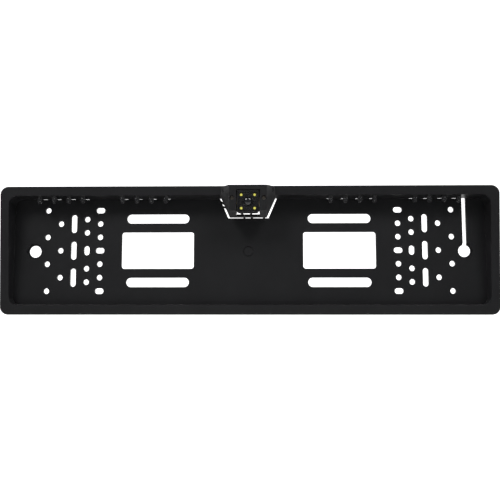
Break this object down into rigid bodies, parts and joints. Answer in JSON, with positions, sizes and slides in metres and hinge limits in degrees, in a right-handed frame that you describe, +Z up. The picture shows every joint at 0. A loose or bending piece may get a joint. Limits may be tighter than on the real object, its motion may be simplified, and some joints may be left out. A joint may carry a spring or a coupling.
{
  "type": "licence plate frame backup camera",
  "caption": "Black plastic licence plate frame with a perforated back plate and a hooded, tilting square backup camera with corner lamps at its top centre.",
  "frame": {"origin": "centre of the field of mounting holes, on the rear face of the back plate", "axes": "+X along the plate to the viewer's right, +Y back towards the car, +Z up; the camera looks along -Y"},
  "size_m": [0.541, 0.0396, 0.1392],
  "materials": {
    "frame_plastic": "fine-textured black ABS",
    "hood_plastic": "fine-textured black ABS",
    "camera_plastic": "smooth satin black plastic",
    "steel": "zinc-plated",
    "brass": "plain brass",
    "tinted_window": "dark tinted acrylic",
    "circuit_board": "solder mask",
    "lamp": "yellow phosphor lamp",
    "lens_metal": "black anodised",
    "lens_glass": "coated lens glass",
    "filter_glass": "infrared cut filter",
    "chip": "sensor package",
    "seal_rubber": "soft seal",
    "cable_rubber": "black cable jacket",
    "tie_nylon": "nylon",
    "plug_nylon": "natural nylon"
  },
  "bodies": {
    "frame": {"plate_frame": "frame_plastic", "camera_hood": "hood_plastic", "hood_screws": "steel", "tilt_clamp_left": "frame_plastic", "tilt_clamp_right": "frame_plastic", "clamp_screw_left": "brass", "clamp_screw_right": "brass", "clamp_nut_left": "brass", "clamp_nut_right": "brass", "camera_cable": "cable_rubber", "cable_coil": "cable_rubber", "cable_tie": "tie_nylon", "plug_shell": "plug_nylon", "plug_contacts": "brass"},
    "camera": {"camera_housing": "camera_plastic", "pivot_pin_left": "steel", "pivot_pin_right": "steel", "pivot_washers": "brass", "front_window": "tinted_window", "led_board": "circuit_board", "led_1": "lamp", "led_2": "lamp", "led_3": "lamp", "led_4": "lamp", "lens_barrel": "lens_metal", "front_lens": "lens_glass", "rear_lens": "lens_glass", "ir_filter": "filter_glass", "lens_holder": "lens_metal", "image_sensor": "chip", "main_board": "circuit_board", "board_spacers": "brass", "board_screws": "steel", "housing_seal": "seal_rubber", "rear_cover": "camera_plastic", "cover_screws": "steel", "cable_gland": "cable_rubber"}
  },
  "joints": [
    {"name": "camera_tilt", "type": "hinge", "parent": "frame", "child": "camera", "pos_m": [0, -0.0208, 0.0512], "axis": [1, 0, 0], "range_deg": [-5, 8], "deforming": ["camera_cable"]}
  ]
}
